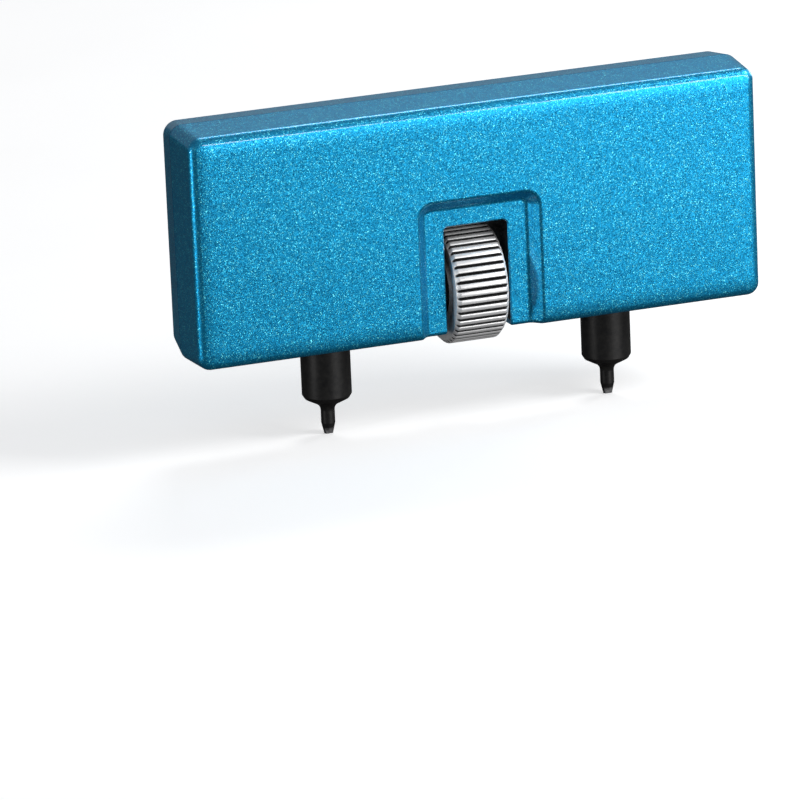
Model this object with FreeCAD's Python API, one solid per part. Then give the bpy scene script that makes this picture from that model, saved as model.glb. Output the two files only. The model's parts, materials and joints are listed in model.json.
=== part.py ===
"""Adjustable two-claw watch case back opener, in millimetres.

Frame: origin midway between the two claw tips, in the plane of the tips; +X along the body towards the
right-hand claw, +Y from the front shell to the rear shell, +Z up from the claws to the body.

A thumbwheel turns a spindle with a right-hand thread on its left half and a left-hand thread on its
right half, so that the two jaw blocks, and the claws screwed into them, move apart or together.
"""

import FreeCAD, Part
import math
import os
from collections import namedtuple

Vector = FreeCAD.Vector

# ---- driving dimensions ------------------------------------------------------------------------
BODY_LENGTH = 80.0       # length and height are taken at the parting line, where the body is widest
BODY_HEIGHT = 32.2
CORNER_R = 1.7           # corners of the body at the parting line, seen from the front
TIP_DROP = 12.7          # from the underside of the body down to the claw tips
WALL = 1.8

# depth from the parting plane, how far the sides lean in by the face, corners of the face, radius
# round the face, and depth of the finger recess
Shell = namedtuple("Shell", "depth draft face_corner_r edge_r recess_depth")
FRONT = Shell(depth=7.4, draft=0.36, face_corner_r=1.7, edge_r=1.0, recess_depth=1.7)
REAR = Shell(depth=6.0, draft=0.7, face_corner_r=2.1, edge_r=1.8, recess_depth=1.2)

CLAW_SPACING = 39.9      # between the claw axes at rest
SPACING_MIN = 21.5       # claws run in until the blocks reach the window cheeks
SPACING_MAX = 54.3       # claws run out until the blocks reach the end walls

WHEEL_R = 7.93
WHEEL_WIDTH = 7.4
WHEEL_RIBS = 46
RIB_LAND_SHARE = 0.36    # flat part of each rib, as a share of the pitch
GROOVE_DEPTH = 0.38
WHEEL_BEVEL = 0.5
WHEEL_ABOVE_BODY = 5.6   # spindle axis above the underside of the body
DISH_RIM = 1.9           # rim left round the dish in each side of the wheel
DISH_DEPTH = 0.5

THREAD_R = 2.5           # M5 spindle, major radius
THREAD_PITCH = 0.8

RECESS_HALF_WIDTH = 8.6  # finger recess round the wheel, at the face
RECESS_RISE = 19.1       # top of the recess above the underside, at the face
RECESS_LEAN = 0.8        # how far its walls lean in for each millimetre of depth
RECESS_CORNER_R = 2.2    # its upper corners, at the face
RECESS_FLOOR_R = 0.7     # between its walls and its floor
RIM_R = 0.55             # round its edge, at the face
WINDOW_HALF_WIDTH = 4.5
WINDOW_RISE = 15.1
WINDOW_CORNER_R = 0.7
WINDOW_RIM = 0.18        # bevel round its edge

CLAW_R = 3.35
CLAW_RIM = 5.2           # height of the lower rim of the thick part
CLAW_RIM_BEVEL = 0.35
CLAW_NECK = 3.9          # height where the cone has run down to the thin pin
CLAW_PIN_R = 0.95
CLAW_NECK_FILLET = 0.55
CLAW_TIP_R = 0.6
CLAW_TIP_FLARE = 1.5     # height where the tip has widened to the full pin
CLAW_FLAT = 0.42         # half thickness between the two flats on the tip
CLAW_FLAT_HEIGHT = 0.9

# ---- derived places ----------------------------------------------------------------------------
HALF_LENGTH = BODY_LENGTH / 2
BODY_BOTTOM = TIP_DROP
BODY_TOP = TIP_DROP + BODY_HEIGHT
AXIS_Z = BODY_BOTTOM + WHEEL_ABOVE_BODY
CLAW_X = CLAW_SPACING / 2

CHANNEL_HALF_DEPTH = 3.5                        # the slot that the jaw blocks slide in
CHANNEL_START = WINDOW_HALF_WIDTH + 1.2         # outer side of the cheek beside the wheel
CHANNEL_END = 32.0
BLOCK_LENGTH = 9.0
BLOCK_HALF_DEPTH = 3.35
BLOCK_BOTTOM = BODY_BOTTOM + 0.2
BLOCK_TOP = AXIS_Z + 6.6
BLOCK_BEVEL = 0.5
CHANNEL_TOP = BLOCK_TOP + 0.5
POCKET_BOTTOM = BODY_BOTTOM + WINDOW_RISE + 1.4
POCKET_TOP = BODY_TOP - WALL
POCKET_END = HALF_LENGTH - WALL
POCKET_CORNER_R = 1.0
RIB_THICKNESS = 1.2

SPIGOT_R = 2.0                                  # M4 spigot that screws the claw into its block
SPIGOT_TOP = AXIS_Z - THREAD_R - 0.3
SPIGOT_BEVEL = 0.3
LOCK_SCREW_R = 1.0
LOCK_SCREW_Z = BLOCK_BOTTOM + 1.4
LOCK_SLOT_DEPTH = 0.55
LOCK_SLOT_HALF_WIDTH = 0.16

JOURNAL_R = 1.75
THREAD_END = CHANNEL_END + 0.5                  # the spindle steps down to its end journals here
FLANGE_IN, FLANGE_OUT = CHANNEL_END + 0.6, CHANNEL_END + 1.4
FLANGE_R = 4.0
BUSH_R = 3.0
BUSH_END = FLANGE_OUT + 2.6
CLIP_IN, CLIP_OUT = BUSH_END + 0.3, BUSH_END + 0.8
CLIP_R = 3.2
CLIP_GROOVE_R = 1.35
CLIP_LOBE_R = 0.9
SPINDLE_END = BUSH_END + 1.6
SPINDLE_BEVEL = 0.3
CLIP_ROOM_END = SPINDLE_END + 0.4
CLIP_ROOM_R = 3.6

SEAT_R = 3.0                                    # the wheel is pressed on this part of the spindle
KEY_R = 0.75
WASHER_R = 4.5
WASHER_IN, WASHER_OUT = WHEEL_WIDTH / 2 + 0.03, WHEEL_WIDTH / 2 + 0.7

SCREW_X = 34.6
SCREW_UPPER_Z = BODY_TOP - 5.3
SCREW_LOWER_Z = AXIS_Z + 8.0
SCREW_R = 1.25
SCREW_POINT = 0.35
SCREW_HEAD_R = 2.3
SCREW_HEAD_HEIGHT = 1.3
SCREW_HEAD_SINK = 0.15                          # head top below the rear face
SCREW_HEAD_GAP = 0.12                           # round the head in its countersink
SCREW_TIP_Y = -4.4
CROSS_ARM, CROSS_HALF_WIDTH, CROSS_DEPTH = 1.25, 0.24, 0.9
BOSS_R = 2.9

DOWEL_X = 20.0
DOWEL_Z = BODY_TOP - 3.5
DOWEL_R = 1.0
DOWEL_BEVEL = 0.25
DOWEL_HALF_LENGTH = 2.6
DOWEL_BOSS_R = 2.4

SEAM_DEPTH = 0.12                               # fine groove round the parting line
SEAM_HALF_WIDTH = 0.07
RUNNING = 0.05                                  # radial clearance of a running fit
LOOSE = 0.1                                     # clearance of a free fit
SNUG = 0.01                                     # radial clearance of a fixed fit
FAR = 100.0                                     # any length that reaches right through
TINY = 1e-3


# ---- small shape helpers -----------------------------------------------------------------------
def box(x0, x1, y0, y1, z0, z1):
    return Part.makeBox(x1 - x0, y1 - y0, z1 - z0, Vector(x0, y0, z0))


def rod_x(x0, x1, radius, z=AXIS_Z, y=0.0):
    """A cylinder along X between x0 and x1, in either order."""
    low, high = min(x0, x1), max(x0, x1)
    return Part.makeCylinder(radius, high - low, Vector(low, y, z), Vector(1, 0, 0))


def rod_y(x, z, y0, y1, radius):
    return Part.makeCylinder(radius, y1 - y0, Vector(x, y0, z), Vector(0, 1, 0))


def rod_z(x, z0, z1, radius):
    return Part.makeCylinder(radius, z1 - z0, Vector(x, 0, z0), Vector(0, 0, 1))


def joined(shapes):
    return shapes[0].multiFuse(shapes[1:]).removeSplitter()


def along_y(edge):
    return edge.BoundBox.XLength < TINY and edge.BoundBox.ZLength < TINY


def edges_in_plane_y(shape, y):
    """The edges that lie wholly in the plane at this y."""
    return [e for e in shape.Edges if abs(e.BoundBox.YMin - y) < TINY and abs(e.BoundBox.YMax - y) < TINY]


def outline(y, half_length, z0, z1, corner):
    """A rectangle with rounded corners in the plane at this y."""
    middle_z, half_height = (z0 + z1) / 2, (z1 - z0) / 2
    lean = corner * (1 - math.sqrt(0.5))
    arcs = []
    for across, up in ((1, 1), (-1, 1), (-1, -1), (1, -1)):
        on_end = Vector(across * half_length, y, middle_z + up * (half_height - corner))
        on_long = Vector(across * (half_length - corner), y, middle_z + up * half_height)
        middle = Vector(across * (half_length - lean), y, middle_z + up * (half_height - lean))
        first, last = (on_end, on_long) if across == up else (on_long, on_end)
        arcs.append((first, middle, last))
    edges = []
    for (first, middle, last), (following, _, _) in zip(arcs, arcs[1:] + arcs[:1]):
        edges.append(Part.Arc(first, middle, last).toShape())
        edges.append(Part.LineSegment(last, following).toShape())
    return Part.Wire(edges)


def plate(half_length, z0, z1, y0, y1, corner):
    """A plate in the XZ plane with rounded corners."""
    return Part.Face(outline(y0, half_length, z0, z1, corner)).extrude(Vector(0, y1 - y0, 0))


# ---- shells ------------------------------------------------------------------------------------
# Each shell is built as a front shell, with its face towards -Y, and the rear one is then mirrored.
def recess_cutter(kind):
    """The finger recess in the face: sloped walls down to a flat floor with a small radius."""
    over = 1.0                                  # how far the cutter stands out of the face
    low = BODY_BOTTOM - 6.0                     # the recess runs out through the underside
    top = BODY_BOTTOM + RECESS_RISE
    floor_y = -kind.depth + kind.recess_depth
    wider, narrower = RECESS_LEAN * over, RECESS_LEAN * kind.recess_depth
    mouth = outline(-kind.depth - over, RECESS_HALF_WIDTH + wider, low, top + wider, RECESS_CORNER_R + wider)
    floor = outline(floor_y, RECESS_HALF_WIDTH - narrower, low, top - narrower, RECESS_CORNER_R - narrower)
    cutter = Part.makeLoft([mouth, floor], True, True)
    floor_edges = [e for e in edges_in_plane_y(cutter, floor_y) if e.BoundBox.ZMax > BODY_BOTTOM]
    return cutter.makeFillet(RECESS_FLOOR_R, floor_edges)


def on_recess_rim(edge, kind):
    """True for the edges where the recess meets the face and the underside."""
    bounds = edge.BoundBox
    beside = max(abs(bounds.XMin), abs(bounds.XMax)) < RECESS_HALF_WIDTH + LOOSE
    in_face = abs(bounds.YMax + kind.depth) < TINY
    underside = bounds.ZMax < BODY_BOTTOM + kind.draft + kind.edge_r + TINY
    before_floor = bounds.YMax < -kind.depth + kind.recess_depth + TINY
    return beside and (in_face or (underside and before_floor))


def outer_half(kind):
    """A shell as a solid lump with its drafted sides, rounded edges and recess."""
    low, high = BODY_BOTTOM + kind.draft, BODY_TOP - kind.draft
    parting = outline(0.0, HALF_LENGTH, BODY_BOTTOM, BODY_TOP, CORNER_R)
    face = outline(-kind.depth, HALF_LENGTH - kind.draft, low, high, kind.face_corner_r)
    lump = Part.makeLoft([parting, face], True, True)
    lump = lump.makeFillet(kind.edge_r, edges_in_plane_y(lump, -kind.depth))
    lump = lump.cut(recess_cutter(kind))
    return lump.makeFillet(RIM_R, [e for e in lump.Edges if on_recess_rim(e, kind)])


def seam_groove():
    """A fine groove round the outside of the parting line."""
    outside = plate(
        HALF_LENGTH + 1, BODY_BOTTOM - 1, BODY_TOP + 1, -SEAM_HALF_WIDTH, SEAM_HALF_WIDTH, CORNER_R + 1
    )
    inside = plate(
        HALF_LENGTH - SEAM_DEPTH,
        BODY_BOTTOM + SEAM_DEPTH,
        BODY_TOP - SEAM_DEPTH,
        -SEAM_HALF_WIDTH - 1,
        SEAM_HALF_WIDTH + 1,
        CORNER_R - SEAM_DEPTH,
    )
    return outside.cut(inside)


def side_hollows(side):
    """What is taken out of both shells on one side of the wheel: side is -1 for left, +1 for right."""
    c0, c1 = sorted((side * CHANNEL_START, side * CHANNEL_END))
    return [
        box(c0, c1, -CHANNEL_HALF_DEPTH, CHANNEL_HALF_DEPTH, BODY_BOTTOM - 1, CHANNEL_TOP),
        rod_x(side * (WINDOW_HALF_WIDTH - 1), side * (FLANGE_IN + LOOSE), THREAD_R + 1.5 * LOOSE),
        rod_x(side * FLANGE_IN, side * (FLANGE_OUT + SNUG), FLANGE_R + SNUG),
        rod_x(side * FLANGE_OUT, side * (BUSH_END + SNUG), BUSH_R + SNUG),
        rod_x(side * BUSH_END, side * CLIP_ROOM_END, CLIP_ROOM_R),
        rod_y(side * DOWEL_X, DOWEL_Z, -DOWEL_HALF_LENGTH - LOOSE, DOWEL_HALF_LENGTH + LOOSE, DOWEL_R + SNUG),
    ]


def upper_pocket(kind):
    """The hollow above the wheel and the channels, clear of the recess, two ribs and the bosses."""
    deep = kind.depth - WALL
    pocket = plate(POCKET_END, POCKET_BOTTOM, POCKET_TOP, -deep, deep, POCKET_CORNER_R)
    backing = RECESS_HALF_WIDTH + WALL
    kept = [box(-backing, backing, -FAR, FAR, 0, BODY_BOTTOM + RECESS_RISE + WALL)]
    for side in (-1, 1):
        rib_x = side * (backing - RIB_THICKNESS / 2)
        kept.append(box(rib_x - RIB_THICKNESS / 2, rib_x + RIB_THICKNESS / 2, -FAR, FAR, 0, FAR))
        kept.append(rod_y(side * SCREW_X, SCREW_UPPER_Z, -FAR, FAR, BOSS_R))
        kept.append(rod_y(side * DOWEL_X, DOWEL_Z, -FAR, FAR, DOWEL_BOSS_R))
    return pocket.cut(joined(kept))


def wheel_window():
    window = box(-WINDOW_HALF_WIDTH, WINDOW_HALF_WIDTH, -FAR, FAR, 0.0, BODY_BOTTOM + WINDOW_RISE)
    top_corners = [e for e in window.Edges if along_y(e) and e.BoundBox.ZMin > BODY_BOTTOM]
    return window.makeFillet(WINDOW_CORNER_R, top_corners)


def on_window_rim(edge, kind):
    """True for the edges where the wheel window breaks through the floor of the recess."""
    bounds = edge.BoundBox
    floor_y = -kind.depth + kind.recess_depth
    beside = max(abs(bounds.XMin), abs(bounds.XMax)) < WINDOW_HALF_WIDTH + SNUG
    in_floor = abs(bounds.YMin - floor_y) < TINY and abs(bounds.YMax - floor_y) < TINY
    return beside and in_floor


def shell_blank(kind):
    """A shell before its screw holes."""
    shell = outer_half(kind).cut(wheel_window())
    shell = shell.makeChamfer(WINDOW_RIM, [e for e in shell.Edges if on_window_rim(e, kind)])
    for cutter in [upper_pocket(kind), seam_groove()] + side_hollows(-1) + side_hollows(1):
        shell = shell.cut(cutter)
    return shell


def screw_places():
    return {
        "upper_left": (-SCREW_X, SCREW_UPPER_Z),
        "upper_right": (SCREW_X, SCREW_UPPER_Z),
        "lower_left": (-SCREW_X, SCREW_LOWER_Z),
        "lower_right": (SCREW_X, SCREW_LOWER_Z),
    }


def front_shell():
    shell = shell_blank(FRONT)
    for x, z in screw_places().values():
        shell = shell.cut(rod_y(x, z, SCREW_TIP_Y - 4 * LOOSE, 1.0, SCREW_R + SNUG))
    return shell


def rear_shell():
    shell = shell_blank(REAR).mirror(Vector(0, 0, 0), Vector(0, 1, 0))
    head_top = REAR.depth - SCREW_HEAD_SINK
    head_bottom = head_top - SCREW_HEAD_HEIGHT
    hole_r, mouth_r = SCREW_R + LOOSE, SCREW_HEAD_R + SCREW_HEAD_GAP
    for x, z in screw_places().values():
        shank_hole = rod_y(x, z, -1.0, REAR.depth + 1, hole_r)
        sink = Part.makeCone(hole_r, mouth_r, SCREW_HEAD_HEIGHT, Vector(x, head_bottom, z), Vector(0, 1, 0))
        mouth = rod_y(x, z, head_top, REAR.depth + 1, mouth_r)
        shell = shell.cut(joined([shank_hole, sink, mouth]))
    return shell


def case_screw(x, z):
    """A countersunk screw with a cross recess, put in from the rear."""
    head_top = REAR.depth - SCREW_HEAD_SINK
    head_bottom = head_top - SCREW_HEAD_HEIGHT
    shank = rod_y(x, z, SCREW_TIP_Y, head_bottom, SCREW_R)
    shank = shank.makeChamfer(SCREW_POINT, [e for e in shank.Edges if e.BoundBox.YMax < SCREW_TIP_Y + SNUG])
    head = Part.makeCone(SCREW_R, SCREW_HEAD_R, SCREW_HEAD_HEIGHT, Vector(x, head_bottom, z), Vector(0, 1, 0))
    arm, half = CROSS_ARM, CROSS_HALF_WIDTH
    cross = joined(
        [
            box(x - arm, x + arm, head_top - CROSS_DEPTH, head_top + 1, z - half, z + half),
            box(x - half, x + half, head_top - CROSS_DEPTH, head_top + 1, z - arm, z + arm),
        ]
    )
    return joined([shank, head]).cut(cross)


def locating_pin(side):
    pin = rod_y(side * DOWEL_X, DOWEL_Z, -DOWEL_HALF_LENGTH, DOWEL_HALF_LENGTH, DOWEL_R)
    return pin.makeChamfer(DOWEL_BEVEL, [e for e in pin.Edges if not along_y(e)])


def end_bush(side):
    flange = rod_x(side * FLANGE_IN, side * FLANGE_OUT, FLANGE_R)
    barrel = rod_x(side * FLANGE_OUT, side * BUSH_END, BUSH_R)
    bore = rod_x(side * (FLANGE_IN - 1), side * (BUSH_END + 1), JOURNAL_R + RUNNING)
    return joined([flange, barrel]).cut(bore)


# ---- spindle and wheel -------------------------------------------------------------------------
def key_hole():
    """Half of it lies in the spindle's seat and half in the wheel's bore."""
    reach = WHEEL_WIDTH / 2 + SNUG
    return rod_x(-reach, reach, KEY_R + SNUG, AXIS_Z + SEAT_R)


def lead_screw():
    """The threads are plain at their major radius; each side has its relief, journal and clip groove."""
    half = WHEEL_WIDTH / 2
    pieces = [rod_x(-half, half, SEAT_R)]
    for side in (-1, 1):
        pieces.append(rod_x(side * half, side * THREAD_END, THREAD_R))
        pieces.append(rod_x(side * THREAD_END, side * CLIP_IN, JOURNAL_R))
        pieces.append(rod_x(side * CLIP_IN, side * CLIP_OUT, CLIP_GROOVE_R))
        tip = rod_x(side * CLIP_OUT, side * SPINDLE_END, JOURNAL_R)
        end_edges = [e for e in tip.Edges if abs(e.BoundBox.Center.x - side * SPINDLE_END) < SNUG]
        pieces.append(tip.makeChamfer(SPINDLE_BEVEL, end_edges))
    return joined(pieces).cut(key_hole())


def wheel_section():
    """The knurled outline in the YZ plane: a V groove between each pair of flat-topped ribs."""
    step = 2 * math.pi / WHEEL_RIBS
    half_land = RIB_LAND_SHARE / 2
    points = []
    for rib in range(WHEEL_RIBS):
        for turn, radius in ((-half_land, WHEEL_R), (half_land, WHEEL_R), (0.5, WHEEL_R - GROOVE_DEPTH)):
            angle = (rib + turn) * step
            y, z = radius * math.sin(angle), AXIS_Z + radius * math.cos(angle)
            points.append(Vector(-WHEEL_WIDTH / 2, y, z))
    return Part.Face(Part.makePolygon(points + points[:1]))


def wheel_envelope():
    """A disc with bevelled edges that trims the ends of the ribs."""
    reach, shoulder = WHEEL_R + RUNNING, WHEEL_WIDTH / 2 - WHEEL_BEVEL
    pieces = [rod_x(-shoulder, shoulder, reach)]
    for side in (-1, 1):
        start, outwards = Vector(side * shoulder, 0, AXIS_Z), Vector(side, 0, 0)
        pieces.append(Part.makeCone(reach, WHEEL_R - WHEEL_BEVEL, WHEEL_BEVEL, start, outwards))
    return joined(pieces)


def thumbwheel():
    half = WHEEL_WIDTH / 2
    wheel = wheel_section().extrude(Vector(WHEEL_WIDTH, 0, 0)).common(wheel_envelope())
    for side in (-1, 1):
        dish = rod_x(side * (half - DISH_DEPTH), side * (half + 1), WHEEL_R - DISH_RIM)
        hub = rod_x(side * (half - DISH_DEPTH - LOOSE), side * (half + 2), WASHER_R)
        wheel = wheel.cut(dish.cut(hub))
    return wheel.cut(rod_x(-FAR, FAR, SEAT_R + SNUG)).cut(key_hole())


def wheel_key_pin():
    half = WHEEL_WIDTH / 2
    return rod_x(-half, half, KEY_R, AXIS_Z + SEAT_R)


def wheel_washer(side):
    disc = rod_x(side * WASHER_IN, side * WASHER_OUT, WASHER_R)
    return disc.cut(rod_x(-FAR, FAR, THREAD_R + SNUG))


def end_clip(side):
    """An E-clip in the spindle's end groove, open downwards."""
    disc = rod_x(side * CLIP_IN, side * CLIP_OUT, CLIP_R).cut(rod_x(-FAR, FAR, CLIP_GROOVE_R + SNUG))
    lobe_places = ((0.0, 2.0), (-1.8, -0.3), (1.8, -0.3))
    lobes = joined([rod_x(-FAR, FAR, CLIP_LOBE_R, AXIS_Z + up, y) for y, up in lobe_places])
    lobe_gap = rod_x(-FAR, FAR, CLIP_GROOVE_R + 1.0).cut(lobes)
    mouth_half = CLIP_GROOVE_R - 0.15
    mouth = box(-FAR, FAR, -mouth_half, mouth_half, AXIS_Z - CLIP_R - 1, AXIS_Z)
    return disc.cut(lobe_gap).cut(mouth)


# ---- jaws --------------------------------------------------------------------------------------
def jaw_block(side):
    """Rides on the spindle's thread and slides in the channel between the shells."""
    x = side * CLAW_X
    half = BLOCK_LENGTH / 2
    block = box(x - half, x + half, -BLOCK_HALF_DEPTH, BLOCK_HALF_DEPTH, BLOCK_BOTTOM, BLOCK_TOP)
    block = block.makeChamfer(BLOCK_BEVEL, [e for e in block.Edges if e.BoundBox.ZMin > BLOCK_TOP - SNUG])
    tapped = rod_x(x - FAR, x + FAR, THREAD_R + RUNNING)
    spigot_hole = rod_z(x, BLOCK_BOTTOM - 1, SPIGOT_TOP + LOOSE, SPIGOT_R + SNUG)
    lock_hole = rod_y(x, LOCK_SCREW_Z, -BLOCK_HALF_DEPTH - 1, 0.0, LOCK_SCREW_R + SNUG)
    return block.cut(joined([tapped, spigot_hole])).cut(lock_hole)


def claw_profile():
    """Half section of a claw from its tip up to its spigot."""
    turn = math.atan2(CLAW_R - CLAW_PIN_R, CLAW_RIM - CLAW_NECK)    # the cone's angle from the pin
    # the fillet blends the pin into the cone: it leaves both at the same distance from their corner
    reach = 2 * CLAW_NECK_FILLET * math.tan(turn / 2)
    radius = 2 * CLAW_NECK_FILLET
    start = Vector(CLAW_PIN_R, 0, CLAW_NECK - reach)
    end = Vector(CLAW_PIN_R + reach * math.sin(turn), 0, CLAW_NECK + reach * math.cos(turn))
    centre = Vector(CLAW_PIN_R + radius, 0, CLAW_NECK - reach)
    middle = centre + Vector(-radius * math.cos(turn / 2), 0, radius * math.sin(turn / 2))
    below = [Vector(0, 0, 0), Vector(CLAW_TIP_R, 0, 0), Vector(CLAW_PIN_R, 0, CLAW_TIP_FLARE), start]
    above = [
        end,
        Vector(CLAW_R - CLAW_RIM_BEVEL * math.sin(turn), 0, CLAW_RIM - CLAW_RIM_BEVEL * math.cos(turn)),
        Vector(CLAW_R, 0, CLAW_RIM + CLAW_RIM_BEVEL),
        Vector(CLAW_R, 0, BLOCK_BOTTOM - SPIGOT_BEVEL),
        Vector(CLAW_R - SPIGOT_BEVEL, 0, BLOCK_BOTTOM),
        Vector(SPIGOT_R, 0, BLOCK_BOTTOM),
        Vector(SPIGOT_R, 0, SPIGOT_TOP - SPIGOT_BEVEL),
        Vector(SPIGOT_R - SPIGOT_BEVEL, 0, SPIGOT_TOP),
        Vector(0, 0, SPIGOT_TOP),
        below[0],
    ]
    edges = [Part.LineSegment(a, b).toShape() for a, b in zip(below, below[1:])]
    edges.append(Part.Arc(start, middle, end).toShape())
    edges += [Part.LineSegment(a, b).toShape() for a, b in zip(above, above[1:])]
    return Part.Face(Part.Wire(edges))


def claw(side):
    """A turned steel claw: spigot, thick post, cone and thin pin with two small flats at its tip."""
    turned = claw_profile().revolve(Vector(0, 0, 0), Vector(0, 0, 1), 360)
    for sign in (-1, 1):
        y0, y1 = sorted((sign * CLAW_FLAT, sign * CLAW_R))
        turned = turned.cut(box(-CLAW_R, CLAW_R, y0, y1, -1, CLAW_FLAT_HEIGHT))
    turned.translate(Vector(side * CLAW_X, 0, 0))
    return turned


def claw_lock_screw(side):
    x = side * CLAW_X
    screw = rod_y(x, LOCK_SCREW_Z, -BLOCK_HALF_DEPTH + LOOSE, -SPIGOT_R - 2 * SNUG, LOCK_SCREW_R)
    slot_y = -BLOCK_HALF_DEPTH + LOCK_SLOT_DEPTH
    half = LOCK_SLOT_HALF_WIDTH
    return screw.cut(box(x - 2, x + 2, slot_y - 2, slot_y, LOCK_SCREW_Z - half, LOCK_SCREW_Z + half))


# ---- the whole part ----------------------------------------------------------------------------
def all_parts():
    parts = {"front_shell": front_shell(), "rear_shell": rear_shell()}
    for place, (x, z) in screw_places().items():
        parts[place + "_case_screw"] = case_screw(x, z)
    parts["lead_screw"] = lead_screw()
    parts["thumbwheel"] = thumbwheel()
    parts["wheel_key_pin"] = wheel_key_pin()
    for name, side in (("left", -1), ("right", 1)):
        parts[name + "_locating_pin"] = locating_pin(side)
        parts[name + "_end_bush"] = end_bush(side)
        parts[name + "_wheel_washer"] = wheel_washer(side)
        parts[name + "_end_clip"] = end_clip(side)
        parts[name + "_jaw_block"] = jaw_block(side)
        parts[name + "_claw"] = claw(side)
        parts[name + "_claw_lock_screw"] = claw_lock_screw(side)
    return parts


def main():
    os.makedirs("parts", exist_ok=True)
    for name, shape in all_parts().items():
        shape.exportStep(os.path.join("parts", name + ".step"))
        print(f"{name}: {shape.Volume:.1f} mm3, {len(shape.Solids)} solid(s), valid {shape.isValid()}")
    travel_in, travel_out = (CLAW_SPACING - SPACING_MIN) / 2, (SPACING_MAX - CLAW_SPACING) / 2
    print(f"each claw travels {travel_in:.2f} mm in and {travel_out:.2f} mm out")
    turns_in, turns_out = travel_in / THREAD_PITCH, travel_out / THREAD_PITCH
    print(f"the wheel turns {turns_in:.3f} times in and {turns_out:.3f} times out")


main()
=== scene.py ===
"""Looks for the adjustable two-claw case back opener: finishes, knurled wheel, cut threads, light, camera."""

import json
import math

import bpy
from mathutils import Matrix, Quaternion, Vector


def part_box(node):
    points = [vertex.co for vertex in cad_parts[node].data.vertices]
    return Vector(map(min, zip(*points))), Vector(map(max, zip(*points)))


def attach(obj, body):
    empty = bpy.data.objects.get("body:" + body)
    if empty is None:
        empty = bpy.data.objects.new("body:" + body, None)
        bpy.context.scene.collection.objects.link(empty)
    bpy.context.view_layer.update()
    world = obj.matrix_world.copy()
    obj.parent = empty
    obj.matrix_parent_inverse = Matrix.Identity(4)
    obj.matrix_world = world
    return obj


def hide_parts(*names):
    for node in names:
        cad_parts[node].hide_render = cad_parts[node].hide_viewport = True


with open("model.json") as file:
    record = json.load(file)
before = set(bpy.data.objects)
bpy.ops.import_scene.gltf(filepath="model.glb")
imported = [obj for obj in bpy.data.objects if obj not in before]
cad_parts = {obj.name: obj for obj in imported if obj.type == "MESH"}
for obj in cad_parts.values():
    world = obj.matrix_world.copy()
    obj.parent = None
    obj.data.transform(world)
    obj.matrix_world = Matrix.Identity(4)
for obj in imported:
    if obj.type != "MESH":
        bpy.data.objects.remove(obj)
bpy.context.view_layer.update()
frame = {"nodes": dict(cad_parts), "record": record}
nodes = frame["nodes"]

# ---- places and sizes, in metres, read from the frame ---------------------------------------------
MM = 0.001
SHELL_LOW, SHELL_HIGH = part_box("front_shell")
FRONT_Y = SHELL_LOW.y
REAR_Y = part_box("rear_shell")[1].y
HALF_LENGTH = SHELL_HIGH.x
HALF_HEIGHT = (SHELL_HIGH.z - SHELL_LOW.z) / 2
MIDDLE_Z = (SHELL_HIGH.z + SHELL_LOW.z) / 2

WHEEL_LOW, WHEEL_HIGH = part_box("thumbwheel")
WHEEL_R = (WHEEL_HIGH.z - WHEEL_LOW.z) / 2
WHEEL_HALF = (WHEEL_HIGH.x - WHEEL_LOW.x) / 2
AXIS_Z = (WHEEL_HIGH.z + WHEEL_LOW.z) / 2

SPINDLE_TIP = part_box("lead_screw")[1].x
BUSH_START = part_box("right_end_bush")[0].x
CLIP_START, CLIP_END = (corner.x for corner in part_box("right_end_clip"))

SHARP_ANGLE = math.radians(35.0)

# ---- thumbwheel -----------------------------------------------------------------------------------
WHEEL_RIBS = 46
RIB_DEPTH = 0.38 * MM
# from a rib's middle to the groove: place as a share of the pitch, drop as a share of the rib's depth
RIB_FLANK = ((0.19, 0.0), (0.25, 0.1), (0.37, 0.5), (0.46, 0.93))
WHEEL_BEVEL = 0.5 * MM
WHEEL_BORE = 3.01 * MM
HUB_R = 4.5 * MM
DISH_R = WHEEL_R - 1.9 * MM
DISH_DEPTH = 0.5 * MM
# the wheel's edges are softened this far back, and by these small steps at each kind of edge
EDGE_SOFT = 0.09 * MM
TREAD_EASE = 0.03 * MM
BEVEL_EASE = 0.054 * MM
SIDE_EASE = 0.02 * MM
DISH_EASE = 0.04 * MM

# ---- lead screw -----------------------------------------------------------------------------------
THREAD_PITCH = 0.8 * MM
THREAD_DEPTH = 0.49 * MM
THREAD_R = 2.5 * MM
# the flat crest and the sloping flank, as shares of half a pitch
THREAD_CREST = 0.14
THREAD_FLANK = 0.62
THREAD_START = WHEEL_HALF + 1.0 * MM
THREAD_END = BUSH_START - 0.1 * MM
SEAT_R = 2.99 * MM
JOURNAL_R = 1.75 * MM
GROOVE_R = 1.35 * MM
TIP_BEVEL = 0.3 * MM
TIP_R = 0.02 * MM
SPINDLE_SIDES = 40
SECTIONS_PER_PITCH = 10

# ---- camera ---------------------------------------------------------------------------------------
CAMERA_AZIMUTH = math.radians(-18.75)
CAMERA_ELEVATION = math.radians(16.99)
CAMERA_ROLL = math.radians(-2.478)
CAMERA_DISTANCE = 0.9874
CAMERA_LENS = 332.0
CAMERA_TARGET = Vector((-0.00971, 0.0, 0.0031))

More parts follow.
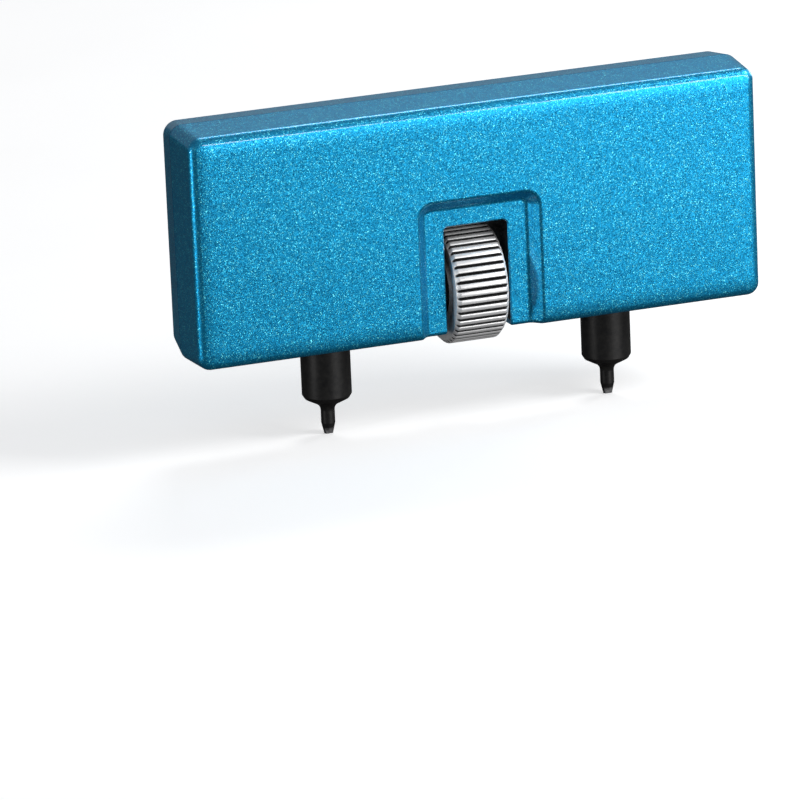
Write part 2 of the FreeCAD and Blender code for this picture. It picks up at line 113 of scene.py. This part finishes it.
# ---- light and floor ------------------------------------------------------------------------------
# name, azimuth and elevation in degrees, distance, width, height, watts; azimuth 0 is in front
PANELS = (
    ("key", 30, 2, 0.55, 0.34, 0.11, 1.88),
    ("kicker", 60, 34, 0.34, 0.16, 0.12, 0.8),
    ("strip", 152, 50, 0.70, 0.22, 0.11, 1.0),
    ("edge", -76, -4, 0.22, 0.02, 0.04, 0.14),
    ("rear", 118, 8, 0.80, 0.30, 0.25, 1.7),
)
PANEL_AIM = Vector((0.0, 0.0, 0.03))
ROOM_COLOUR = (0.93, 0.96, 1.0)
ROOM_STRENGTH = 0.26
BACKDROP_COLOUR = (0.86, 0.87, 0.88)
FLOOR_HALF = 9.0
FLOOR_TONES = ((0.80, 0.80, 0.80), (0.83, 0.83, 0.83))
FLOOR_BOUNCE = (0.05, 0.05, 0.05)
FLOOR_GLOW = 0.42
FLOOR_MOTTLE = 0.05

# ---- finishes -------------------------------------------------------------------------------------
# noise stays mostly between these
NOISE_LOW, NOISE_HIGH = 0.3, 0.7

# from the dullest flake to the brightest
PAINT_STOPS = (
    (0.0, (0.001, 0.11, 0.27)),
    (0.1, (0.003, 0.225, 0.46)),
    (0.5, (0.005, 0.262, 0.51)),
    (0.9, (0.010, 0.310, 0.56)),
    (0.95, (0.05, 0.63, 0.86)),
    (1.0, (0.22, 0.95, 1.0)),
)
PAINT_ROUGHNESS = (0.34, 0.44)
PAINT_METALLIC = 0.78
PAINT_COAT = 0.5
PAINT_DRIFT = 0.12
CLOUD_SIZE = 1.2 * MM
FLAKE_SIZE = 0.084 * MM
FLAKE_LEAN = 0.18
# bare cast metal inside the shells and on the window walls, darkened to near black as painted shade where
# little light reaches
CAST_AND_SHADE_TONES = ((0.003, 0.004, 0.006), (0.010, 0.012, 0.015))
CAST_GRAIN = 0.6 * MM
CAST_METALLIC = 0.3
# painted: this thick a skin round the sides, and all that lies before PAINT_FRONT or behind PAINT_REAR
BODY_CORNER_R = 1.7 * MM
PAINT_SKIN = 1.0 * MM
PAINT_FRONT = -5.5 * MM
PAINT_REAR = 4.3 * MM
# the faces' slight crown, towards the rounded edges
FACE_INSET = 1.36 * MM
CROWN_REACH = 2.2 * MM
CROWN_DEPTH = 0.3 * MM
CROWN_LEAN = 0.13

PLATING_TONES = ((0.90, 0.90, 0.91), (0.98, 0.98, 0.98))
PLATING_ROUGHNESS = (0.34, 0.44)
PLATING_METALLIC = 0.5
WEAR_SIZE = 1.5 * MM
# painted shade: the grooves between the ribs are coloured near black, standing in for the shadow in them
GROOVE_SHADE_COLOUR = (0.006, 0.006, 0.007)
# added to the plating's roughness in the grooves painted dark as shade
GROOVE_SHADE_ROUGHNESS = 0.3
# how far under the ribs' tops the painted shade in the grooves starts and is full
GROOVE_SHADE_START = 0.07 * MM
GROOVE_SHADE_FULL = 0.13 * MM
TREAD_MARGIN = 0.05 * MM
RING_PITCH = 0.12 * MM
RING_SHARE = 0.3
SCRATCH_SIZE = 0.08 * MM
PLATING_BUMP = 0.004 * MM

OXIDE_TONES = ((0.008, 0.008, 0.009), (0.024, 0.023, 0.022))
OXIDE_ROUGHNESS = (0.30, 0.44)
OXIDE_METALLIC = 0.35
OXIDE_MOTTLE = 0.7 * MM
OXIDE_MARKS = 0.11 * MM
OXIDE_GRAIN = 0.10 * MM
OXIDE_BUMP = 0.006 * MM
RUBBED_COLOUR = (0.22, 0.22, 0.225)
RUBBED_MOST = 0.8
# the tips are rubbed most at the first height, and not at all above the second
RUBBED_HEIGHTS = (0.1 * MM, 1.3 * MM)
RUBBED_EDGE = (0.22, 0.45)

METAL_MOTTLE = 0.9 * MM
METAL_GRAIN = 0.12 * MM
# name, dark and light colour, least and most roughness, size of the turning marks, height of the bump
STEEL = ("turned_steel", ((0.42, 0.42, 0.43), (0.62, 0.62, 0.63)), (0.2, 0.34), 0.2 * MM, 0.004 * MM)
BRASS = ("turned_brass", ((0.55, 0.38, 0.14), (0.74, 0.55, 0.24)), (0.2, 0.36), 0.15 * MM, 0.004 * MM)
ZINC = ("zinc_plate", ((0.42, 0.43, 0.45), (0.62, 0.63, 0.66)), (0.22, 0.36), 0.25 * MM, 0.003 * MM)
MILLED = ("milled_steel", ((0.22, 0.22, 0.23), (0.36, 0.36, 0.37)), (0.3, 0.45), 0.18 * MM, 0.006 * MM)


# ---- stage ----------------------------------------------------------------------------------------
def direction(azimuth, elevation):
    """Unit vector from the object towards a point at this azimuth and elevation; azimuth 0 is in front."""
    flat = math.cos(elevation)
    return Vector((math.sin(azimuth) * flat, -math.cos(azimuth) * flat, math.sin(elevation)))


def add_camera():
    data = bpy.data.cameras.new("camera")
    data.lens = CAMERA_LENS
    data.sensor_width = 36.0
    data.clip_start = 0.05
    data.clip_end = 20.0
    camera = bpy.data.objects.new("camera", data)
    bpy.context.scene.collection.objects.link(camera)
    back = direction(CAMERA_AZIMUTH, CAMERA_ELEVATION)
    camera.rotation_mode = "QUATERNION"
    camera.location = CAMERA_TARGET + back * CAMERA_DISTANCE
    camera.rotation_quaternion = (-back).to_track_quat("-Z", "Y") @ Quaternion((0, 0, 1), CAMERA_ROLL)
    bpy.context.scene.camera = camera


def add_panel(name, azimuth, elevation, distance, width, height, power):
    """A soft box that faces the object."""
    data = bpy.data.lights.new(name, "AREA")
    data.shape = "RECTANGLE"
    data.size = width
    data.size_y = height
    data.energy = power
    panel = bpy.data.objects.new(name, data)
    bpy.context.scene.collection.objects.link(panel)
    towards = direction(math.radians(azimuth), math.radians(elevation))
    panel.location = PANEL_AIM + towards * distance
    panel.visible_camera = False
    panel.rotation_mode = "QUATERNION"
    panel.rotation_quaternion = (-towards).to_track_quat("-Z", "Y")


def add_world():
    """A dim room for the object, and a pale backdrop where the camera looks past the floor."""
    world = bpy.data.worlds.new("studio")
    bpy.context.scene.world = world
    world.use_nodes = True
    tree = world.node_tree
    tree.nodes.clear()
    room = add_node(tree, "ShaderNodeBackground", {"Color": (*ROOM_COLOUR, 1), "Strength": ROOM_STRENGTH})
    backdrop = add_node(tree, "ShaderNodeBackground", {"Color": (*BACKDROP_COLOUR, 1)})
    output = add_node(tree, "ShaderNodeOutputWorld")
    seen_or_not(tree, backdrop, room, output)


def add_floor():
    mesh = bpy.data.meshes.new("floor")
    corners = [(x * FLOOR_HALF, y * FLOOR_HALF, 0) for x, y in ((-1, -1), (1, -1), (1, 1), (-1, 1))]
    mesh.from_pydata(corners, [], [(0, 1, 2, 3)])
    floor = bpy.data.objects.new("floor", mesh)
    bpy.context.scene.collection.objects.link(floor)
    floor.data.materials.append(floor_material())


# ---- node helpers ---------------------------------------------------------------------------------
def add_node(tree, kind, values=None, **settings):
    made = tree.nodes.new(kind)
    for key, value in settings.items():
        setattr(made, key, value)
    for key, value in (values or {}).items():
        made.inputs[key].default_value = value
    return made


def feed(tree, value, socket):
    """Links another node's output to this socket, or sets the socket to a plain value."""
    if isinstance(value, bpy.types.NodeSocket):
        tree.links.new(value, socket)
    else:
        socket.default_value = value


def new_material(name, **sockets):
    """A Principled material and its tree; sockets are set by their names with spaces for underscores."""
    material = bpy.data.materials.new(name)
    material.use_nodes = True
    tree = material.node_tree
    shader = tree.nodes["Principled BSDF"]
    for key, value in sockets.items():
        shader.inputs[key.replace("_", " ")].default_value = value
    return material, tree, shader


def seen_or_not(tree, seen, unseen, output):
    """One shader where the camera looks straight at the stage, another for the light that it gives off."""
    rays = add_node(tree, "ShaderNodeLightPath")
    either = add_node(tree, "ShaderNodeMixShader")
    tree.links.new(rays.outputs["Is Camera Ray"], either.inputs["Fac"])
    tree.links.new(unseen.outputs[0], either.inputs[1])
    tree.links.new(seen.outputs[0], either.inputs[2])
    tree.links.new(either.outputs[0], output.inputs["Surface"])


def object_point(tree):
    return add_node(tree, "ShaderNodeTexCoord").outputs["Object"]


def noise(tree, point, size, detail=2.0, roughness=0.5):
    """Noise with features of about this size in metres."""
    made = add_node(tree, "ShaderNodeTexNoise", {"Scale": 1 / size, "Detail": detail, "Roughness": roughness})
    tree.links.new(point, made.inputs["Vector"])
    return made.outputs["Fac"]


def ramp(tree, factor, stops):
    """A colour ramp; stops are (position, colour)."""
    made = add_node(tree, "ShaderNodeValToRGB")
    elements = made.color_ramp.elements
    elements[0].position, elements[1].position = stops[0][0], stops[-1][0]
    for position, _ in stops[1:-1]:
        elements.new(position)
    for element, (_, colour) in zip(elements, stops):
        element.color = (*colour, 1)
    tree.links.new(factor, made.inputs["Fac"])
    return made.outputs["Color"]


def toned(tree, factor, tones):
    """Noise turned into a mottle between a dark and a light colour."""
    return ramp(tree, factor, ((NOISE_LOW, tones[0]), (NOISE_HIGH, tones[1])))


def maths(tree, operation, a, b=None, clamp=False):
    """A Math node; a and b are sockets or numbers."""
    made = add_node(tree, "ShaderNodeMath", operation=operation, use_clamp=clamp)
    feed(tree, a, made.inputs[0])
    if b is not None:
        feed(tree, b, made.inputs[1])
    return made.outputs["Value"]


def vector_maths(tree, operation, a, b=None):
    """A Vector Math node; a is a socket, and b is a socket or a vector, or SCALE's factor."""
    made = add_node(tree, "ShaderNodeVectorMath", operation=operation)
    tree.links.new(a, made.inputs[0])
    if b is not None:
        feed(tree, b, made.inputs["Scale" if operation == "SCALE" else 1])
    return made.outputs["Vector"]


def mixed(tree, factor, a, b):
    """A colour mix; a and b are sockets or colours with alpha."""
    made = add_node(tree, "ShaderNodeMix", data_type="RGBA")
    tree.links.new(factor, made.inputs["Factor"])
    feed(tree, a, made.inputs[6])
    feed(tree, b, made.inputs[7])
    return made.outputs[2]


def remapped(tree, value, low, high, to_low, to_high):
    limits = {"From Min": low, "From Max": high, "To Min": to_low, "To Max": to_high}
    made = add_node(tree, "ShaderNodeMapRange", limits)
    tree.links.new(value, made.inputs["Value"])
    return made.outputs["Result"]


def bumped(tree, height, distance):
    made = add_node(tree, "ShaderNodeBump", {"Distance": distance, "Strength": 1.0})
    tree.links.new(height, made.inputs["Height"])
    return made.outputs["Normal"]


def split(tree, point):
    made = add_node(tree, "ShaderNodeSeparateXYZ")
    tree.links.new(point, made.inputs[0])
    return made.outputs


def joined_point(tree, x, y, z):
    made = add_node(tree, "ShaderNodeCombineXYZ")
    for socket, value in zip(made.inputs, (x, y, z)):
        feed(tree, value, socket)
    return made.outputs[0]


def hypotenuse(tree, a, b):
    """The root of the sum of two squares."""
    squares = [maths(tree, "POWER", value, 2) for value in (a, b)]
    return maths(tree, "SQRT", maths(tree, "ADD", *squares))


def turning_level(tree, point, axis, mark_size, grain_size, grain_detail, share):
    """Turning marks round this axis, mixed with fine grain; share is the marks' part."""
    along = joined_point(tree, split(tree, point)[axis], 0.0, 0.0)
    marks = maths(tree, "MULTIPLY", noise(tree, along, mark_size, detail=3.0, roughness=0.8), share)
    grain = maths(tree, "MULTIPLY", noise(tree, point, grain_size, detail=grain_detail), 1 - share)
    return maths(tree, "ADD", marks, grain)


# ---- materials ------------------------------------------------------------------------------------
def floor_material():
    """Pale to look at, and dark in the light that it throws back on the object."""
    material, tree, shader = new_material(
        "floor",
        Roughness=0.7,
        Specular_IOR_Level=0.1,
        Emission_Color=(1, 1, 1, 1),
        Emission_Strength=FLOOR_GLOW,
    )
    tone = noise(tree, object_point(tree), FLOOR_MOTTLE, detail=4.0)
    tree.links.new(toned(tree, tone, FLOOR_TONES), shader.inputs["Base Color"])
    bounce = add_node(tree, "ShaderNodeBsdfDiffuse", {"Color": (*FLOOR_BOUNCE, 1)})
    seen_or_not(tree, shader, bounce, tree.nodes["Material Output"])
    return material


def inside_mask(tree, point):
    """1 on the shells' inner surfaces, which get bare cast metal darkened as painted shade, 0 on their
    painted outside.
    """
    parts = split(tree, point)
    across = maths(tree, "SUBTRACT", maths(tree, "ABSOLUTE", parts["X"]), HALF_LENGTH - BODY_CORNER_R)
    off_middle = maths(tree, "ABSOLUTE", maths(tree, "SUBTRACT", parts["Z"], MIDDLE_Z))
    upright = maths(tree, "SUBTRACT", off_middle, HALF_HEIGHT - BODY_CORNER_R)
    from_corner = hypotenuse(tree, maths(tree, "MAXIMUM", across, 0.0), maths(tree, "MAXIMUM", upright, 0.0))
    off_skin = maths(tree, "LESS_THAN", from_corner, BODY_CORNER_R - PAINT_SKIN)
    behind = maths(tree, "GREATER_THAN", parts["Y"], PAINT_FRONT)
    before = maths(tree, "LESS_THAN", parts["Y"], PAINT_REAR)
    return maths(tree, "MULTIPLY", off_skin, maths(tree, "MULTIPLY", behind, before))


def edge_lean(tree, off_middle, edge):
    """How far the shading leans outwards along one axis; it grows over the last stretch before the edge."""
    near = remapped(tree, maths(tree, "ABSOLUTE", off_middle), edge - CROWN_REACH, edge, 0.0, CROWN_LEAN)
    eased = maths(tree, "MULTIPLY", near, remapped(tree, near, 0.0, CROWN_LEAN, 0.0, 1.0))
    return maths(tree, "MULTIPLY", eased, maths(tree, "SIGN", off_middle))


def face_crown(tree, point):
    """The front and rear faces are slightly crowned towards their edges."""
    parts = split(tree, point)
    across = edge_lean(tree, parts["X"], HALF_LENGTH - FACE_INSET)
    upright = edge_lean(tree, maths(tree, "SUBTRACT", parts["Z"], MIDDLE_Z), HALF_HEIGHT - FACE_INSET)
    at_front = remapped(tree, parts["Y"], FRONT_Y + CROWN_DEPTH, FRONT_Y, 0.0, 1.0)
    at_rear = remapped(tree, parts["Y"], REAR_Y - CROWN_DEPTH, REAR_Y, 0.0, 1.0)
    lean = joined_point(tree, across, 0.0, upright)
    return vector_maths(tree, "SCALE", lean, maths(tree, "ADD", at_front, at_rear))


def paint_material():
    """Blue paint with fine metal flakes under a thin clear coat; bare cast metal inside, darkened to near
    black as painted shade.
    """
    material, tree, shader = new_material(
        "sparkle_paint", Coat_Roughness=0.09, Coat_IOR=1.5, Specular_IOR_Level=0.25
    )
    point = object_point(tree)
    flakes = add_node(tree, "ShaderNodeTexVoronoi", {"Scale": 1 / FLAKE_SIZE}, feature="F1")
    tree.links.new(point, flakes.inputs["Vector"])
    chance = split(tree, flakes.outputs["Color"])["X"]
    cloud = maths(tree, "SUBTRACT", noise(tree, point, CLOUD_SIZE), 0.5)
    level = maths(tree, "ADD", chance, maths(tree, "MULTIPLY", cloud, PAINT_DRIFT), clamp=True)
    paint = ramp(tree, level, PAINT_STOPS)
    # painted shade: the inside gets near-black cast metal
    cast_and_shade = toned(tree, noise(tree, point, CAST_GRAIN, detail=4.0), CAST_AND_SHADE_TONES)
    inside = inside_mask(tree, point)
    metallic = remapped(tree, inside, 0.0, 1.0, PAINT_METALLIC, CAST_METALLIC)
    tree.links.new(mixed(tree, inside, paint, cast_and_shade), shader.inputs["Base Color"])
    tree.links.new(remapped(tree, chance, 0.0, 1.0, *PAINT_ROUGHNESS), shader.inputs["Roughness"])
    tree.links.new(metallic, shader.inputs["Metallic"])
    tree.links.new(remapped(tree, inside, 0.0, 1.0, PAINT_COAT, 0.0), shader.inputs["Coat Weight"])
    # each flake lies at its own small angle
    either_way = vector_maths(tree, "SUBTRACT", flakes.outputs["Color"], (0.5, 0.5, 0.5))
    tilt = vector_maths(tree, "SCALE", either_way, FLAKE_LEAN)
    lean = vector_maths(tree, "ADD", tilt, face_crown(tree, point))
    surface = add_node(tree, "ShaderNodeNewGeometry").outputs["Normal"]
    normal = vector_maths(tree, "NORMALIZE", vector_maths(tree, "ADD", surface, lean))
    tree.links.new(normal, shader.inputs["Normal"])
    return material


def plating_material():
    """Bright plating, painted near black between the ribs as shade, with faint turning marks on the sides."""
    material, tree, shader = new_material("wheel_plating", Metallic=PLATING_METALLIC)
    point = object_point(tree)
    parts = split(tree, point)
    radius = hypotenuse(tree, parts["Y"], maths(tree, "SUBTRACT", parts["Z"], AXIS_Z))
    off_middle = maths(tree, "ABSOLUTE", parts["X"])
    past_bevel = maths(tree, "SUBTRACT", off_middle, WHEEL_HALF - WHEEL_BEVEL)
    # on the bevels, reach adds back what the bevel takes off the radius
    reach = maths(tree, "ADD", radius, maths(tree, "MAXIMUM", past_bevel, 0.0))
    deep = remapped(tree, reach, WHEEL_R - GROOVE_SHADE_FULL, WHEEL_R - GROOVE_SHADE_START, 1.0, 0.0)
    off_side = maths(tree, "LESS_THAN", off_middle, WHEEL_HALF - TREAD_MARGIN)
    near_rim = maths(tree, "GREATER_THAN", reach, WHEEL_R - RIB_DEPTH - TREAD_MARGIN)
    # painted shade: near black deep in the grooves between the ribs
    groove_shade = maths(tree, "MULTIPLY", deep, maths(tree, "MULTIPLY", off_side, near_rim), clamp=True)
    worn = noise(tree, point, WEAR_SIZE, detail=5.0, roughness=0.65)
    bright = toned(tree, worn, PLATING_TONES)
    tree.links.new(mixed(tree, groove_shade, bright, (*GROOVE_SHADE_COLOUR, 1)), shader.inputs["Base Color"])
    worn_roughness = remapped(tree, worn, NOISE_LOW, NOISE_HIGH, *PLATING_ROUGHNESS)
    roughness = maths(tree, "ADD", worn_roughness, maths(tree, "MULTIPLY", groove_shade, GROOVE_SHADE_ROUGHNESS))
    tree.links.new(roughness, shader.inputs["Roughness"])
    rings = maths(tree, "SINE", maths(tree, "MULTIPLY", radius, 2 * math.pi / RING_PITCH))
    scratches = noise(tree, point, SCRATCH_SIZE, detail=3.0)
    height = maths(tree, "ADD", maths(tree, "MULTIPLY", rings, RING_SHARE), scratches)
    tree.links.new(bumped(tree, height, PLATING_BUMP), shader.inputs["Normal"])
    return material


def turned_material(name, tones, roughness, mark_size, bump):
    """Bare or plated metal with fine turning marks round X."""
    material, tree, shader = new_material(name, Metallic=1.0)
    point = object_point(tree)
    mottle = noise(tree, point, METAL_MOTTLE, detail=5.0, roughness=0.6)
    tree.links.new(toned(tree, mottle, tones), shader.inputs["Base Color"])
    level = turning_level(tree, point, "X", mark_size, METAL_GRAIN, grain_detail=2.0, share=0.7)
    tree.links.new(remapped(tree, level, NOISE_LOW, NOISE_HIGH, *roughness), shader.inputs["Roughness"])
    tree.links.new(bumped(tree, level, bump), shader.inputs["Normal"])
    return material


def claw_material():
    """Black oxide with turning marks, rubbed to bare steel at the tips."""
    material, tree, shader = new_material("black_oxide")
    point = object_point(tree)
    mottle = noise(tree, point, OXIDE_MOTTLE, detail=5.0, roughness=0.65)
    oxide = toned(tree, mottle, OXIDE_TONES)
    near_tip = remapped(tree, split(tree, point)["Z"], *RUBBED_HEIGHTS, 1.0, 0.0)
    rubbed = remapped(tree, maths(tree, "MULTIPLY", near_tip, mottle), *RUBBED_EDGE, 0.0, RUBBED_MOST)
    tree.links.new(mixed(tree, rubbed, oxide, (*RUBBED_COLOUR, 1)), shader.inputs["Base Color"])
    level = turning_level(tree, point, "Z", OXIDE_MARKS, OXIDE_GRAIN, grain_detail=3.0, share=0.6)
    roughness = remapped(tree, level, NOISE_LOW, NOISE_HIGH, *OXIDE_ROUGHNESS)
    tree.links.new(roughness, shader.inputs["Roughness"])
    metallic = remapped(tree, rubbed, 0.0, RUBBED_MOST, OXIDE_METALLIC, 1.0)
    tree.links.new(metallic, shader.inputs["Metallic"])
    tree.links.new(bumped(tree, level, OXIDE_BUMP), shader.inputs["Normal"])
    return material


# ---- built pieces ---------------------------------------------------------------------------------
def smooth_object(name, points, faces):
    mesh = bpy.data.meshes.new(name)
    mesh.from_pydata(points, [], faces)
    mesh.validate()
    mesh.shade_smooth()
    mesh.set_sharp_from_angle(angle=SHARP_ANGLE)
    made = bpy.data.objects.new(name, mesh)
    bpy.context.scene.collection.objects.link(made)
    return made


def ring_faces(rings, around):
    """Quads between neighbouring rings of points, the last joined to the first."""
    faces = []
    for i in range(rings):
        here, there = i * around, (i + 1) % rings * around
        for j in range(around):
            k = (j + 1) % around
            faces.append((here + j, here + k, there + k, there + j))
    return faces


def about_spindle(x, radius, angle):
    return (x, radius * math.sin(angle), AXIS_Z + radius * math.cos(angle))


def tread_points():
    """The knurled rim, as (angle, radius): flat lands with rounded shoulders between V grooves."""
    rib = [(-0.5, 1.0)] + [(-place, drop) for place, drop in reversed(RIB_FLANK)] + [(0.0, 0.0), *RIB_FLANK]
    step = 2 * math.pi / WHEEL_RIBS
    points = []
    for i in range(WHEEL_RIBS):
        points += [((i + place) * step, WHEEL_R - drop * RIB_DEPTH) for place, drop in rib]
    return points


def wheel_outline():
    """The wheel's cross-section, as (x, radius): bevelled at the rim and dished on both sides."""
    side = WHEEL_HALF
    bevel = WHEEL_R - WHEEL_BEVEL
    right = [
        (side - WHEEL_BEVEL - EDGE_SOFT, WHEEL_R),
        (side - WHEEL_BEVEL, WHEEL_R - TREAD_EASE),
        (side - EDGE_SOFT, bevel + BEVEL_EASE),
        (side - SIDE_EASE, bevel),
        (side, bevel - EDGE_SOFT),
        (side, DISH_R + EDGE_SOFT),
        (side - DISH_EASE, DISH_R),
        (side - DISH_DEPTH, DISH_R - EDGE_SOFT),
        (side - DISH_DEPTH, HUB_R + EDGE_SOFT),
        (side - DISH_EASE, HUB_R),
        (side, HUB_R - EDGE_SOFT),
        (side, WHEEL_BORE),
    ]
    return right + [(-x, radius) for x, radius in reversed(right)]


def wheel_piece(material):
    tread = tread_points()
    outline = wheel_outline()
    points = [about_spindle(x, min(radius, rim), angle) for x, radius in outline for angle, rim in tread]
    wheel = smooth_object("thumbwheel_knurled", points, ring_faces(len(outline), len(tread)))
    wheel.data.materials.append(material)
    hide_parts("thumbwheel")
    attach(wheel, "drive")


def thread_drop(x, angle, hand):
    """How far the thread's surface lies under its major radius here; it runs out at both ends."""
    phase = (x / THREAD_PITCH * hand - angle / (2 * math.pi)) % 1.0
    from_crest = abs(phase - 0.5) * 2
    shape = min(max((from_crest - THREAD_CREST) / THREAD_FLANK, 0.0), 1.0)
    fade = min((abs(x) - THREAD_START) / THREAD_PITCH, (THREAD_END - abs(x)) / THREAD_PITCH, 1.0)
    return THREAD_DEPTH * shape * max(fade, 0.0)


def spindle_stations():
    """The spindle from end to end, as (x, radius, thread's hand); a hand of 0 is plain."""
    count = math.ceil((THREAD_END - THREAD_START) / (THREAD_PITCH / SECTIONS_PER_PITCH))
    step = (THREAD_END - THREAD_START) / count
    half = [(0.0, SEAT_R, 0), (WHEEL_HALF, SEAT_R, 0), (WHEEL_HALF, THREAD_R, 0)]
    half += [(THREAD_START + step * i, THREAD_R, 1) for i in range(count + 1)]
    half += [
        (THREAD_END, JOURNAL_R, 0),
        (CLIP_START, JOURNAL_R, 0),
        (CLIP_START, GROOVE_R, 0),
        (CLIP_END, GROOVE_R, 0),
        (CLIP_END, JOURNAL_R, 0),
        (SPINDLE_TIP - TIP_BEVEL, JOURNAL_R, 0),
        (SPINDLE_TIP, JOURNAL_R - TIP_BEVEL, 0),
        (SPINDLE_TIP, TIP_R, 0),
    ]
    left = [(-x, radius, hand) for x, radius, hand in reversed(half[1:])]
    return left + [(x, radius, -hand) for x, radius, hand in half]


def spindle_piece(material):
    """The lead screw with its two opposite threads, journals and clip grooves."""
    stations = spindle_stations()
    points = []
    for x, radius, hand in stations:
        for j in range(SPINDLE_SIDES):
            angle = 2 * math.pi * j / SPINDLE_SIDES
            drop = thread_drop(x, angle, hand) if hand else 0.0
            points.append(about_spindle(x, radius - drop, angle))
    last = (len(stations) - 1) * SPINDLE_SIDES
    faces = ring_faces(len(stations), SPINDLE_SIDES)[:last]
    faces.append(tuple(reversed(range(SPINDLE_SIDES))))
    faces.append(tuple(range(last, last + SPINDLE_SIDES)))
    spindle = smooth_object("lead_screw_threaded", points, faces)
    spindle.data.materials.append(material)
    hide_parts("lead_screw")
    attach(spindle, "drive")


def finish_cad_nodes(finishes):
    """Gives every CAD node the finish of its material slot."""
    slots = {row["node"]: row["material_slot"] for row in frame["record"]["subparts"]}
    for name, node in nodes.items():
        node.material_slots[0].material = finishes[slots[name]]


def main():
    add_camera()
    add_world()
    add_floor()
    for panel in PANELS:
        add_panel(*panel)
    finishes = {
        "blue_paint": paint_material(),
        "wheel_chrome": plating_material(),
        "black_steel": claw_material(),
        "block_steel": turned_material(*MILLED),
        "screw_steel": turned_material(*STEEL),
        "zinc_screw_steel": turned_material(*ZINC),
        "bush_brass": turned_material(*BRASS),
    }
    wheel_piece(finishes["wheel_chrome"])
    spindle_piece(finishes["screw_steel"])
    finish_cad_nodes(finishes)
    bpy.context.scene.view_settings.view_transform = "Standard"


main()
